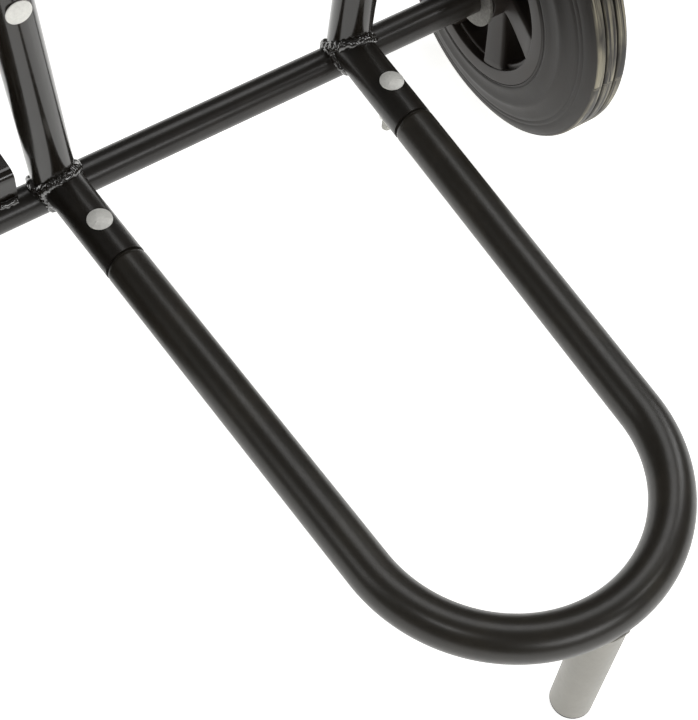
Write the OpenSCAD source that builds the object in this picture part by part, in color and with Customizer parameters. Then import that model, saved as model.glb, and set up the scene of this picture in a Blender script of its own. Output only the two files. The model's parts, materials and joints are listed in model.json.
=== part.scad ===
// Upright two-wheeled drum dolly of bent and plugged steel tube: a welded axle base with
// sockets, a looped toe on a short front leg, a bolted handle frame and two solid tyred wheels.
// The origin is on the floor, in the middle of the width and of the front-to-back length;
// +X is to the operator's left as seen from the toe, -Y is the toe end, +Z is up.

/* [Wheels] */
// Outer diameter of each tyre
wheel_d = 250; // [200:5:300]
// Half width of the tread's flat part
tread_half = 12.2; // [8:0.1:20]
// Half width of the tyre at the tread's edges
edge_half = 14.8; // [10:0.1:24]
// How far the tread's edges lie below the tread
edge_drop = 4; // [2:0.5:8]
// Half width of the tapered tyre where it meets the hub
bead_half = 27; // [20:0.5:32]
// Radius at which the tyre sits on the hub
rim_r = 76; // [60:1:90]
// Distance from the middle of the axle to the middle of each wheel
wheel_x = 271.3; // [250:0.1:300]
// Depth of the two grooves in the tread
groove_depth = 1.8; // [1:0.1:4]
// Width of the two grooves in the tread
groove_w = 2.4; // [2:0.2:6]
// Distance of each tread groove from the tyre's middle
groove_x = 5; // [3:0.5:9]

/* [Hubs] */
// Width of the hub's rim
hub_rim_w = 54; // [40:1:60]
// Inner radius of the hub's rim ring
hub_ring_r = 64; // [50:1:68]
// Outer radius of the hub's boss
boss_r = 21; // [18:0.5:28]
// Length of the hub's boss
boss_len = 62; // [56:0.5:70]
// Number of spokes
spoke_count = 6; // [4:1:8]
// Radius at which the windows between the spokes come to a point
window_tip = 23; // [22:0.5:40]
// Angle that each window spans at the rim ring
window_span = 35; // [20:1:45]
// Thickness of the spoked web
web_t = 44; // [14:1:50]
// Angle of the first spoke from straight down
spoke_turn = 35; // [0:1:60]
// Outer radius of the plain bush in the hub
bush_r = 13; // [12:0.5:15]
// Radial running clearance between the bush and the axle rod
bush_gap = 0.05; // [0.02:0.01:0.1]

/* [Axle] */
// Radius of the solid axle rod
rod_r = 10; // [8:0.5:12]
// Full length of the axle rod
rod_len = 638; // [600:2:680]
// Outer radius of the cross tube that carries the rod
cross_r = 12.5; // [11:0.5:16]
// Full length of the cross tube
cross_len = 472; // [440:2:500]
// Outer radius of the axle washers
axle_washer_r = 24; // [18:0.5:28]
// Thickness of the axle washers
axle_washer_t = 3; // [2:0.5:4]
// Radius of the split pins through the rod's ends
split_pin_r = 1.8; // [1.2:0.1:2.5]
// Distance of each split pin from the middle of the axle
split_pin_x = 309.5; // [300:0.5:320]

/* [Frame tubes] */
// Distance of each upright from the middle, at the axle
upright_x = 120.6; // [100:0.2:140]
// Outward lean of each upright
upright_splay = 4; // [0:0.5:8]
// Outer radius of the uprights and of the handle frame
upright_r = 16; // [14:0.5:19]
// Length of each upright socket above the axle
upright_len = 232; // [180:2:280]
// Wall thickness of the frame tubes
wall = 1.5; // [1.2:0.1:2.5]
// Radial gap of the plugged tube ends inside their sockets
plug_gap = 0.2; // [0.1:0.05:0.4]

/* [Toe] */
// Outer radius of the toe loop and of its sockets
toe_r = 15; // [13:0.5:18]
// Height of the toe loop's middle above the axle
toe_rise = 15.3; // [12:0.1:20]
// Inward lean of each toe leg
toe_in = 2.5; // [0:0.1:5]
// Distance of the front bend's centre ahead of the axle
toe_bend_y = 357; // [250:1:420]
// Length of each toe socket ahead of the axle
toe_socket_len = 90; // [70:1:120]
// How far the toe loop's plugged ends start ahead of the axle
toe_plug_start = 30; // [24:1:50]
// Outer radius of the front leg
leg_r = 14.5; // [10:0.5:14.5]
// Visible thickness of the leg's foot
foot_t = 4; // [2:0.5:8]
// Length of the foot's plug inside the leg
foot_plug = 20; // [10:1:30]

/* [Handle] */
// Length of the straight rails above the sockets
rail_len = 560; // [400:5:650]
// Backward bend at the top of the rails
kick_angle = 24; // [0:1:35]
// Radius of the tube bends in the handle frame
handle_bend_r = 70; // [50:1:100]
// Length of the sloping part between the two bends
kick_len = 92; // [60:1:140]
// Outer radius of the rubber grip
grip_r = 19.5; // [18:0.5:24]
// Length of the rubber grip
grip_len = 130; // [90:1:160]
// Heights of the two bowed cradle bars above the axle
cradle_z = [340, 640]; // [300:5:700]
// Radius to which the cradle bars are bowed
cradle_bow_r = 305; // [290:1:400]
// Outer radius of the cradle bars
cradle_r = 11; // [9:0.5:14]

/* [Fasteners] */
// Radius of the carriage bolts' shanks
bolt_r = 4; // [3:0.5:5]
// Radius of the bolts' domed heads
head_r = 8.8; // [8:0.1:12]
// Height of the bolts' domed heads
head_h = 3.2; // [2.5:0.1:5]
// Length of the bolts below their heads
bolt_len = 50; // [42:1:60]
// Distance of the toe bolts ahead of the axle
toe_bolt_y = 60; // [45:1:75]
// Height of the upright bolts above the axle
upright_bolt_z = 194; // [150:1:215]
// Distance across the flats of the nuts
nut_af = 13; // [10:0.5:17]
// Height of the nuts
nut_h = 7; // [5:0.5:9]
// Thickness of the bolts' washers
washer_t = 1.6; // [1:0.1:2.5]
// Outer radius of the bolts' washers
washer_r = 8; // [7:0.5:12]

/* [Foot plate] */
// Distance of the foot plate's near end from the middle
plate_x = 150; // [145:1:170]
// Length of the foot plate along the axle
plate_len = 78; // [50:1:90]
// Height of the foot plate's top above the axle
plate_top = 38; // [30:1:75]
// Thickness of the foot plate
plate_t = 3; // [2:0.5:5]
// Depth of the foot plate's folded tread behind the axle
plate_tread = 46; // [30:1:60]
// Radius of the foot plate's corners
plate_corner = 22; // [10:1:30]

/* [Hidden] */
$fn = 96;
wheel_r = wheel_d / 2;
toe_bend_r = upright_x * cos(toe_in) - toe_bend_y * sin(toe_in);
toe_leg_len = upright_x * sin(toe_in) + toe_bend_y * cos(toe_in);
toe_front = toe_bend_y + toe_bend_r;
axle_y = (toe_front + toe_r - wheel_r) / 2;
hole_r = bolt_r + 0.25;
toe_bolt_x = upright_x - toe_bolt_y * tan(toe_in);
upright_bolt_x = upright_x + upright_bolt_z * tan(upright_splay);
boss_half = boss_len / 2;
rail_start = upright_len + 6;
rail_end = upright_len + rail_len;
loop_splay = asin(cos(kick_angle) * sin(upright_splay));
loop_tilt = atan(tan(kick_angle) / cos(upright_splay));
bend_end = rail_end + handle_bend_r * sin(kick_angle);
slope_start = [upright_x + bend_end * sin(upright_splay), handle_bend_r * (1 - cos(kick_angle)),
    bend_end * cos(upright_splay)];
top_rise = kick_len * cos(loop_splay) + handle_bend_r * (1 + sin(loop_splay));
top_y = slope_start[1] + top_rise * sin(loop_tilt);
top_z = slope_start[2] + top_rise * cos(loop_tilt);
top_half = slope_start[0] + kick_len * sin(loop_splay) - handle_bend_r * cos(loop_splay);
plug_r = toe_r - wall - plug_gap;
rail_plug_r = upright_r - wall - plug_gap;
rail_plug_start = upright_bolt_z - 60;
neck_len = 3;
toe_neck = toe_socket_len + 2;
seam_half = 2;
seam_gap = 0.6;
seam_step = 0.15;
grip_gap = 0.05;

// Moves the axle-centred layout onto the floor-centred frame.
module placed() translate([0, axle_y, wheel_r]) children();

module both_sides() {
    children();
    mirror([1, 0, 0]) children();
}

module along_x(r, len) rotate([0, 90, 0]) cylinder(r = r, h = len, center = true);

// One upright's axis, leaning outwards from the cross tube.
module on_upright() translate([upright_x, 0, 0]) rotate([0, upright_splay, 0]) children();

// One toe leg's axis, running forwards and slightly inwards.
module on_toe() translate([upright_x, 0, toe_rise]) rotate([90, 0, -toe_in]) children();

module washer_ring(r_out, r_in, t) difference() {
    cylinder(r = r_out, h = t);
    translate([0, 0, -1]) cylinder(r = r_in, h = t + 2);
}

module hex_nut() difference() {
    linear_extrude(height = nut_h)
        polygon([for (i = [0:5]) nut_af / 2 / cos(30) * [cos(60 * i), sin(60 * i)]]);
    translate([0, 0, -1]) cylinder(r = bolt_r, h = nut_h + 2);
}

// A mushroom-headed bolt: the head's flat underside is at z = 0 and the shank points down.
module carriage_bolt(len) {
    cap_r = (head_r * head_r + head_h * head_h) / (2 * head_h);
    intersection() {
        translate([0, 0, head_h - cap_r]) sphere(r = cap_r, $fn = 128);
        cylinder(r = head_r, h = head_h + 1);
    }
    translate([0, 0, -len]) cylinder(r = bolt_r, h = len + head_h / 2);
}

// ---- Axle ----
module axle_tube() color("#262520") placed() difference() {
    along_x(cross_r, cross_len);
    along_x(rod_r + bush_gap, cross_len + 2);
}

module axle_rod() color("#9a9a96") placed() difference() {
    along_x(rod_r, rod_len);
    both_sides() translate([split_pin_x, 0, 0])
        cylinder(r = split_pin_r + 0.1, h = 4 * rod_r, center = true);
}

// ---- Welded sockets ----
module upright_socket() difference() {
    on_upright() translate([0, 0, -6]) cylinder(r = upright_r, h = upright_len + 6);
    on_upright() translate([0, 0, -8]) cylinder(r = upright_r - wall, h = upright_len + 10);
    along_x(cross_r, cross_len);
    translate([0, -50, -50]) cube([2 * upright_x, 100, 50]);
    translate([upright_bolt_x, 0, upright_bolt_z]) rotate([90, 0, 0])
        cylinder(r = hole_r, h = 3 * upright_r, center = true);
}
module upright_socket_left() color("#272423") placed() mirror([1, 0, 0]) upright_socket();
module upright_socket_right() color("#272423") placed() upright_socket();

module toe_socket() difference() {
    on_toe() cylinder(r = toe_r, h = toe_socket_len);
    on_toe() translate([0, 0, -1]) cylinder(r = toe_r - wall, h = toe_socket_len + 2);
    on_upright() translate([0, 0, -20]) cylinder(r = upright_r, h = 90);
    along_x(cross_r, cross_len);
    translate([toe_bolt_x, -toe_bolt_y, toe_rise])
        cylinder(r = hole_r, h = 3 * toe_r, center = true);
}
module toe_socket_left() color("#2b2926") placed() mirror([1, 0, 0]) toe_socket();
module toe_socket_right() color("#2b2926") placed() toe_socket();

// ---- Toe loop and leg ----
module ring(r, w) difference() {
    circle(r = r);
    circle(r = r - w);
}

module pipe(r, w, len) linear_extrude(height = len) ring(r, w);

module pipe_neck(r1, r2, w, len) difference() {
    cylinder(r1 = r1, r2 = r2, h = len);
    cylinder(r1 = r1 - w, r2 = r2 - w, h = len);
}

// A short collar over the seam between a straight pipe and a bend.
module seam(r, w) translate([0, 0, -seam_half]) pipe(r + seam_step, w + 2 * seam_step, 2 * seam_half);

// A bend in the XY plane about the origin, stopping just short of both its seams.
module pipe_arc(r, w, bend_r, angle) {
    trim = seam_gap / bend_r * 180 / PI;
    rotate([0, 0, trim]) rotate_extrude(angle = angle - 2 * trim) translate([bend_r, 0]) ring(r, w);
}

module toe_bend() translate([0, -toe_bend_y, toe_rise]) rotate([0, 0, 180 + toe_in])
    pipe_arc(toe_r, wall, toe_bend_r, 180 - 2 * toe_in);

module toe_leg_pipe() on_toe() {
    translate([0, 0, toe_plug_start]) pipe(plug_r, wall, toe_neck - toe_plug_start);
    translate([0, 0, toe_neck]) pipe_neck(plug_r, toe_r, wall, neck_len);
    translate([0, 0, toe_neck + neck_len]) pipe(toe_r, wall, toe_leg_len - toe_neck - neck_len - seam_gap);
    translate([0, 0, toe_leg_len]) seam(toe_r, wall);
}

module toe_loop() color("#34352f") placed() difference() {
    union() {
        toe_bend();
        both_sides() toe_leg_pipe();
    }
    both_sides() translate([toe_bolt_x, -toe_bolt_y, toe_rise])
        cylinder(r = hole_r, h = 3 * toe_r, center = true);
}

module toe_leg() color("#a3a09a") placed() difference() {
    translate([0, -toe_front, foot_t - wheel_r]) cylinder(r = leg_r, h = wheel_r + toe_rise - foot_t);
    translate([0, -toe_front, -wheel_r]) cylinder(r = leg_r - wall, h = wheel_r + toe_rise + 1);
    translate([0, -toe_bend_y, toe_rise]) rotate_extrude() translate([toe_bend_r, 0])
        circle(r = toe_r);
}

module leg_foot() color("#1c1c1c") placed() translate([0, -toe_front, -wheel_r]) {
    cylinder(r = leg_r, h = foot_t);
    cylinder(r = leg_r - wall, h = foot_t + foot_plug);
}

module toe_bolts() color("#d8d8d6") placed() both_sides()
    translate([toe_bolt_x, -toe_bolt_y, toe_rise + toe_r]) carriage_bolt(bolt_len);
module toe_washers() color("#c8c8c6") placed() both_sides()
    translate([toe_bolt_x, -toe_bolt_y, toe_rise - toe_r - washer_t]) washer_ring(washer_r, hole_r, washer_t);
module toe_nuts() color("#c0c0be") placed() both_sides()
    translate([toe_bolt_x, -toe_bolt_y, toe_rise - toe_r - washer_t - nut_h]) hex_nut();

// ---- Handle frame ----
module pipe_run(r, w, len) {
    translate([0, 0, seam_gap]) pipe(r, w, len - 2 * seam_gap);
    translate([0, 0, len]) seam(r, w);
    translate([0, 0, len]) children();
}

// A bend that starts along +Z and turns towards +X by the given angle.
module pipe_turn(r, w, bend_r, angle) {
    translate([bend_r, 0, 0]) rotate([90, 0, 0]) rotate([0, 0, 180 - angle])
        pipe_arc(r, w, bend_r, angle);
    translate([bend_r, 0, 0]) rotate([0, angle, 0]) translate([-bend_r, 0, 0]) {
        seam(r, w);
        children();
    }
}

// Half of the handle's path: plugged end, straight rail, backward bend, slope and top corner.
module handle_half() {
    on_upright() {
        translate([0, 0, rail_plug_start]) pipe(rail_plug_r, wall, rail_start - neck_len - rail_plug_start);
        translate([0, 0, rail_start - neck_len]) pipe_neck(rail_plug_r, upright_r, wall, neck_len);
        translate([0, 0, rail_start - seam_gap]) pipe_run(upright_r, wall, rail_end - rail_start + seam_gap)
            rotate([0, 0, 90]) pipe_turn(upright_r, wall, handle_bend_r, kick_angle);
    }
    translate(slope_start) rotate([-loop_tilt, 0, 0]) rotate([0, loop_splay, 0]) rotate([0, 0, 180])
        pipe_run(upright_r, wall, kick_len)
        pipe_turn(upright_r, wall, handle_bend_r, 90 + loop_splay);
}

module handle_frame() color("#2a2827") placed() difference() {
    union() {
        both_sides() handle_half();
        translate([seam_gap - top_half, top_y, top_z]) rotate([0, 90, 0])
            pipe(upright_r, wall, 2 * (top_half - seam_gap));
    }
    both_sides() translate([upright_bolt_x, 0, upright_bolt_z]) rotate([90, 0, 0])
        cylinder(r = hole_r, h = 3 * upright_r, center = true);
}

// Bars bowed backwards to cradle the drum, coped to the rails at both ends.
module cradle_bar(z) {
    half = upright_x + z * tan(upright_splay);
    reach = asin(half / cradle_bow_r);
    difference() {
        translate([0, -cradle_bow_r * cos(reach), z]) rotate([0, 0, 90 - reach])
            rotate_extrude(angle = 2 * reach) translate([cradle_bow_r, 0]) circle(r = cradle_r);
        both_sides() on_upright() cylinder(r = upright_r, h = rail_end);
    }
}
module lower_cradle_bar() color("#2d2b29") placed() cradle_bar(cradle_z[0]);
module upper_cradle_bar() color("#2d2b29") placed() cradle_bar(cradle_z[1]);

module upright_bolts() color("#d8d8d6") placed() both_sides()
    translate([upright_bolt_x, -upright_r, upright_bolt_z]) rotate([90, 0, 0])
        carriage_bolt(bolt_len);
module upright_washers() color("#c8c8c6") placed() both_sides()
    translate([upright_bolt_x, upright_r + washer_t, upright_bolt_z]) rotate([90, 0, 0])
        washer_ring(washer_r, hole_r, washer_t);
module upright_nuts() color("#c0c0be") placed() both_sides()
    translate([upright_bolt_x, upright_r + washer_t + nut_h, upright_bolt_z]) rotate([90, 0, 0]) hex_nut();

module handle_grip() color("#1d1d1d") placed() difference() {
    translate([0, top_y, top_z]) along_x(grip_r, grip_len);
    translate([0, top_y, top_z]) along_x(upright_r + grip_gap, grip_len + 2);
}

// ---- Foot plate ----
module rounded_sheet(len, wid, r) {
    square([len, wid - r]);
    translate([r, 0]) square([len - 2 * r, wid]);
    for (x = [r, len - r]) translate([x, wid - r]) circle(r = r);
}
module foot_plate() color("#2b2a27") placed() difference() {
    translate([-plate_x - plate_len, 0, 0]) {
        translate([0, plate_t / 2, 0]) rotate([90, 0, 0]) linear_extrude(height = plate_t)
            square([plate_len, plate_top]);
        translate([0, -plate_t / 2, plate_top - plate_t]) linear_extrude(height = plate_t)
            rounded_sheet(plate_len, plate_tread, plate_corner);
    }
    along_x(cross_r, cross_len);
}

// ---- Wheels ----
module tyre_section() difference() {
    polygon([[rim_r, -bead_half], [wheel_r - edge_drop, -edge_half], [wheel_r, -tread_half],
        [wheel_r, tread_half], [wheel_r - edge_drop, edge_half], [rim_r, bead_half]]);
    for (s = [-1, 1]) translate([wheel_r - groove_depth, s * groove_x - groove_w / 2])
        square([groove_depth + 1, groove_w]);
}
module tyre() translate([wheel_x, 0, 0]) rotate([0, 90, 0]) rotate_extrude($fn = 180) tyre_section();
module tyre_left() color("#3a3a3c") placed() mirror([1, 0, 0]) tyre();
module tyre_right() color("#3a3a3c") placed() tyre();

// The wedge between two spokes, cut through the web.
module hub_window() {
    side = rim_r * [cos(window_span / 2), sin(window_span / 2)];
    linear_extrude(height = web_t + 2, center = true) intersection() {
        circle(r = hub_ring_r - 1);
        polygon([[window_tip, 0], side, [side[0], -side[1]]]);
    }
}

module hub() translate([wheel_x, 0, 0]) rotate([0, 90, 0]) difference() {
    union() {
        difference() {
            cylinder(r = rim_r, h = hub_rim_w, center = true, $fn = 180);
            for (s = [-1, 1]) translate([0, 0, s * (web_t + hub_rim_w) / 2])
                cylinder(r = hub_ring_r, h = hub_rim_w, center = true, $fn = 180);
        }
        cylinder(r = boss_r, h = boss_len, center = true);
    }
    cylinder(r = bush_r, h = boss_len + 2, center = true);
    for (i = [1:spoke_count]) rotate([0, 0, spoke_turn + 360 / spoke_count * (i - 0.5)])
        hub_window();
}
module hub_left() color("#262220") placed() mirror([1, 0, 0]) hub();
module hub_right() color("#262220") placed() hub();

module bush() translate([wheel_x, 0, 0]) difference() {
    along_x(bush_r, boss_len);
    along_x(rod_r + bush_gap, boss_len + 2);
}
module bush_left() color("#b9b6a8") placed() mirror([1, 0, 0]) bush();
module bush_right() color("#b9b6a8") placed() bush();

module inner_washers() color("#9d9d99") placed() both_sides()
    translate([cross_len / 2, 0, 0]) rotate([0, 90, 0])
        washer_ring(axle_washer_r, rod_r + bush_gap, axle_washer_t);
module outer_washers() color("#9d9d99") placed() both_sides()
    translate([split_pin_x - split_pin_r - axle_washer_t - 0.1, 0, 0]) rotate([0, 90, 0])
        washer_ring(axle_washer_r, rod_r + bush_gap, axle_washer_t);

// Split pins with a round eye above the rod, lying along the washer's face.
module split_pins() color("#b4b4b0") placed() both_sides() translate([split_pin_x, 0, 0]) {
    translate([0, 0, -rod_r - 6]) cylinder(r = split_pin_r, h = 2 * rod_r + 8);
    translate([0, 0, rod_r + 5.4]) rotate([0, 90, 0]) rotate_extrude() translate([3.4, 0])
        circle(r = 1.3);
}

axle_tube();
axle_rod();
upright_socket_left();
upright_socket_right();
toe_socket_left();
toe_socket_right();
toe_loop();
toe_leg();
leg_foot();
toe_bolts();
toe_washers();
toe_nuts();
handle_frame();
lower_cradle_bar();
upper_cradle_bar();
upright_bolts();
upright_washers();
upright_nuts();
handle_grip();
foot_plate();
tyre_left();
tyre_right();
hub_left();
hub_right();
bush_left();
bush_right();
inner_washers();
outer_washers();
split_pins();
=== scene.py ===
import json
import math

import bmesh
import bpy
import numpy as np
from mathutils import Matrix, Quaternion, Vector


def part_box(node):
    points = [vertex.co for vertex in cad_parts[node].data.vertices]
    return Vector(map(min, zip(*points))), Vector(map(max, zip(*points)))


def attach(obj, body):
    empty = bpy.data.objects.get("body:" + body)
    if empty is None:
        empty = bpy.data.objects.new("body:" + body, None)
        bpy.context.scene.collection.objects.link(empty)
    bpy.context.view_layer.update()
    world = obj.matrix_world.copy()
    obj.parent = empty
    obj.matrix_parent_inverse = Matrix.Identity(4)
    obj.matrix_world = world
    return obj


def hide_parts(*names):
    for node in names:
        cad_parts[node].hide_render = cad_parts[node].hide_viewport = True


bl_info = {
    "name": "Drum dolly",
    "version": (1, 0, 0),
    "blender": (4, 5, 0),
    "location": "View3D > Sidebar > Drum dolly",
    "description": "Builds the finish, wheels, welds and fasteners of a tubular drum dolly",
    "category": "Object",
}

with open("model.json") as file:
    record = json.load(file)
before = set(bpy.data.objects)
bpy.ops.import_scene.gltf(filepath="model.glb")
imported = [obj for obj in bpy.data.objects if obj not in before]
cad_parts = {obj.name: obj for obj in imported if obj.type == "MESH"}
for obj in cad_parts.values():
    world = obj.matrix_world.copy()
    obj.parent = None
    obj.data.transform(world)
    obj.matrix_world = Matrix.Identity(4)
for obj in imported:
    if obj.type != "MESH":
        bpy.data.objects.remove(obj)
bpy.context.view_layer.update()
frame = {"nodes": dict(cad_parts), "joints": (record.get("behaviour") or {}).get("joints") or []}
MM = 0.001

# ---- Fasteners: M8, with plain washers as (bore radius, edge radius, thickness, rounding) in mm ----
BOLT_LEN = 49.8 * MM
NUT_CORNER = 7.5 * MM
WASHER_MM = (4.25, 8.0, 1.6, 0.3)
WHEEL_WASHER_MM = (10.1, 24.0, 3.0, 0.5)

# ---- Places read from the frame, in metres ----
AXLE = Vector((0.0, frame["joints"][0]["pos_m"][1], frame["joints"][0]["pos_m"][2]))
CROSS_R = (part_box("axle_tube")[1].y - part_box("axle_tube")[0].y) / 2
CROSS_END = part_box("axle_tube")[1].x
TOE_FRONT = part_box("toe_leg")[0].y + (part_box("toe_leg")[1].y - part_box("toe_leg")[0].y) / 2
LEG_R = (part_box("toe_leg")[1].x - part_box("toe_leg")[0].x) / 2
WHEEL_R = (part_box("tyre_right")[1].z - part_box("tyre_right")[0].z) / 2
WHEEL_X = (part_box("tyre_right")[1].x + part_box("tyre_right")[0].x) / 2
BOLT_Y = (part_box("toe_bolts")[1].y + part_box("toe_bolts")[0].y) / 2
BOLT_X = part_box("toe_nuts")[1].x - NUT_CORNER
RAIL_BOLT_Z = (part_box("upright_bolts")[1].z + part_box("upright_bolts")[0].z) / 2
RAIL_BOLT_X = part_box("upright_washers")[1].x - WASHER_MM[1] * MM
GRIP_LO, GRIP_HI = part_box("handle_grip")

# ---- The maker's own angles and tube sizes ----
SPLAY = math.radians(4.0)
TOE_IN = math.radians(2.5)
KICK = math.radians(24.0)
UPRIGHT_X = 120.6 * MM
UPRIGHT_R = 16.0 * MM
TOE_R = 15.0 * MM
TOE_RISE = 15.3 * MM
WALL = 1.5 * MM
SOCKET_LEN = 90.0 * MM
RAIL_START = 238.0 * MM
RAIL_END = 792.0 * MM
HANDLE_BEND = 70.0 * MM
KICK_LEN = 92.0 * MM
CRADLE_HEIGHTS = (340.0 * MM, 640.0 * MM)
CRADLE_R = 11.0 * MM
CRADLE_BOW = 305.0 * MM
PLUG_LEN = 73.0 * MM
PLUG_STEP = 1.7 * MM
TOE_PLUG_START = 30.0 * MM
TOE_PLUG_GAP = 1.2 * MM


# ---- Sizes and colours that a user would change ----
def size_prop(label, text, size):
    """A length property with its default in mm."""
    return bpy.props.FloatProperty(name=label, description=text, default=size * MM, unit="LENGTH")


class DollySizes(bpy.types.PropertyGroup):
    bead_radius: size_prop("Weld bead radius", "Mean radius of the welds", 3.6)
    bead_lump: size_prop("Weld bead lumps", "Height of the welds' lumps", 1.6)
    head_radius: size_prop("Bolt head radius", "Radius of the domed heads", 8.8)
    head_height: size_prop("Bolt head height", "Height of the domed heads", 2.5)
    grip_rib: size_prop("Grip rib spacing", "Distance between the grip's ribs", 5.0)
    camera_lens: bpy.props.FloatProperty(
        name="Camera lens", description="Focal length on a 36 mm sensor", default=83.5)
    camera_roll: bpy.props.FloatProperty(
        name="Camera roll", description="Turn of the camera about its own axis",
        default=math.radians(5.54), subtype="ANGLE")
    camera_place: bpy.props.FloatVectorProperty(
        name="Camera place", description="Where the camera stands", size=3, unit="LENGTH",
        default=(-0.3926, -0.5104, 1.0496))
    camera_aim: bpy.props.FloatVectorProperty(
        name="Camera aim", description="Where the camera's middle ray meets the floor", size=3,
        unit="LENGTH", default=(0.0231, 0.0141, 0.0))


def colour_prop(label, text, code):
    """A colour property whose default is an sRGB hex code turned to linear."""
    return bpy.props.FloatVectorProperty(
        name=label, description=text, subtype="COLOR", size=3, min=0.0, max=1.0, default=linear(code))


def linear(code):
    """Linear RGB of an sRGB hex code: each channel through the sRGB curve."""
    srgb = np.array([int(code[i:i + 2], 16) for i in (1, 3, 5)]) / 255.0
    return tuple(np.where(srgb <= 0.04045, srgb / 12.92, ((srgb + 0.055) / 1.055) ** 2.4).tolist())


class DollyColours(bpy.types.PropertyGroup):
    coat: colour_prop("Powder coat", "Gloss black powder coat of the welded frame", "#1d1914")
    loop_coat: colour_prop("Toe loop coat", "Black powder coat of the toe loop", "#26221b")
    leg_coat: colour_prop("Leg coat", "Pale grey powder coat of the front leg", "#9a978f")
    zinc: colour_prop("Bright zinc", "Zinc plate of the fasteners", "#f6f5ef")
    rubber: colour_prop("Tyre rubber", "Grey-black solid rubber", "#24201c")
    dust: colour_prop("Tread dust", "Beige dirt rubbed into the tread", "#a39c86")
    nylon: colour_prop("Hub nylon", "Black glass-filled nylon of the hubs", "#241e19")
    floor: colour_prop("Floor", "Plain pale studio floor", "#fbfbfa")


# ---- Mesh helpers ----
def mesh_piece(name, verts, faces, sharp_angle=35.0, uv=None, attributes=None):
    """One object at the origin from whole arrays of points and faces, smooth but for its sharp edges."""
    mesh = bpy.data.meshes.new(name)
    mesh.from_pydata(verts.tolist(), [], faces)
    if uv is not None:
        loops = np.zeros(len(mesh.loops), np.int32)
        mesh.loops.foreach_get("vertex_index", loops)
        mesh.uv_layers.new(name="Around").data.foreach_set("uv", uv[loops].ravel())
    for key, values in (attributes or {}).items():
        mesh.attributes.new(key, "FLOAT", "POINT").data.foreach_set("value", values.astype(np.float32))
    work = bmesh.new()
    work.from_mesh(mesh)
    bmesh.ops.recalc_face_normals(work, faces=work.faces)
    work.to_mesh(mesh)
    work.free()
    mesh.polygons.foreach_set("use_smooth", np.ones(len(mesh.polygons), bool))
    mesh.set_sharp_from_angle(angle=math.radians(sharp_angle))
    made = bpy.data.objects.new(name, mesh)
    bpy.context.scene.collection.objects.link(made)
    return made


def ring_faces(rings, around, start=0, closed=False):
    """Quads between neighbouring rings of a grid; open ends are capped with one polygon each."""
    i, j = np.meshgrid(np.arange(rings if closed else rings - 1), np.arange(around), indexing="ij")
    after, beside = (i + 1) % rings, (j + 1) % around
    quads = np.stack([i * around + j, after * around + j, after * around + beside, i * around + beside], -1)
    faces = (quads.reshape(-1, 4) + start).tolist()
    if not closed:
        faces.append((np.arange(around)[::-1] + start).tolist())
        faces.append((np.arange(around) + (rings - 1) * around + start).tolist())
    return faces


def joined(shells):
    """Several (points, faces) shells as one pair, with the faces renumbered."""
    points, faces, count = [], [], 0
    for p, f in shells:
        points.append(p)
        faces += [[k + count for k in face] for face in f]
        count += len(p)
    return np.vstack(points), faces


def revolved(profile, axis_point, axis, around=96, closed=True):
    """Turns (distance along the axis, radius) pairs about an axis: P = A + h a + r (u cos t + v sin t)."""
    a = np.array(axis, float) / np.linalg.norm(axis)
    u = np.cross(a, [0.0, 0.0, 1.0]) if abs(a[2]) < 0.9 else np.cross(a, [0.0, 1.0, 0.0])
    u /= np.linalg.norm(u)
    v = np.cross(a, u)
    t = np.linspace(0.0, 2 * np.pi, around, endpoint=False)
    spoke = np.cos(t)[:, None] * u + np.sin(t)[:, None] * v
    profile = np.asarray(profile, float)
    points = np.array(axis_point) + profile[:, 0, None, None] * a + profile[:, 1, None, None] * spoke
    return points.reshape(-1, 3), ring_faces(len(profile), around, closed=closed)


def stood(points, up, seat):
    """Points drawn along +Z, turned so that +Z is up and moved to their seat."""
    spin = Vector((0, 0, 1)).rotation_difference(Vector(up))
    return points @ np.array(spin.to_matrix()).T + np.array(seat)


def rounded_path(corners, radii, steps=5):
    """A closed outline with rounded corners: each is cut back by r and joined by a quadratic curve."""
    corners = np.asarray(corners, float)
    before, after = np.roll(corners, 1, 0), np.roll(corners, -1, 0)
    out = []
    for p, b, n, r in zip(corners, before, after, radii):
        back = p + (b - p) / np.linalg.norm(b - p) * min(r, np.linalg.norm(b - p) / 2)
        on = p + (n - p) / np.linalg.norm(n - p) * min(r, np.linalg.norm(n - p) / 2)
        s = np.linspace(0, 1, steps if r > 0 else 1)[:, None]
        out.append((1 - s) ** 2 * back + 2 * s * (1 - s) * p + s ** 2 * on if r > 0 else p[None])
    return np.vstack(out)


def path_frames(path, closed=False):
    """Unit tangents and two normals along a path, turned as little as possible from point to point."""
    ahead = np.roll(path, -1, 0) - np.roll(path, 1, 0) if closed else np.gradient(path, axis=0)
    tangent = ahead / np.linalg.norm(ahead, axis=1, keepdims=True)
    first = np.cross(tangent[0], [0.0, 0.0, 1.0])
    if np.linalg.norm(first) < 0.3:
        first = np.cross(tangent[0], [1.0, 0.0, 0.0])
    normal = np.zeros_like(path)
    normal[0] = first / np.linalg.norm(first)
    for k in range(1, len(path)):
        carried = normal[k - 1] - tangent[k] * (normal[k - 1] @ tangent[k])
        normal[k] = carried / np.linalg.norm(carried)
    return tangent, normal, np.cross(tangent, normal)


def swept(path, radius, around=40, closed=False, wobble=None):
    """A round section carried along a path: P = C(s) + r(s, t) (n cos t + b sin t)."""
    normal, side = path_frames(path, closed)[1:]
    t = np.linspace(0, 2 * np.pi, around, endpoint=False)
    r = np.broadcast_to(np.asarray(radius, float).reshape(-1, 1), (len(path), around)).copy()
    if wobble is not None:
        r += wobble
    points = (path[:, None] + r[..., None] * (np.cos(t)[None, :, None] * normal[:, None]
                                              + np.sin(t)[None, :, None] * side[:, None]))
    return points.reshape(-1, 3), ring_faces(len(path), around, closed=closed)


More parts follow.
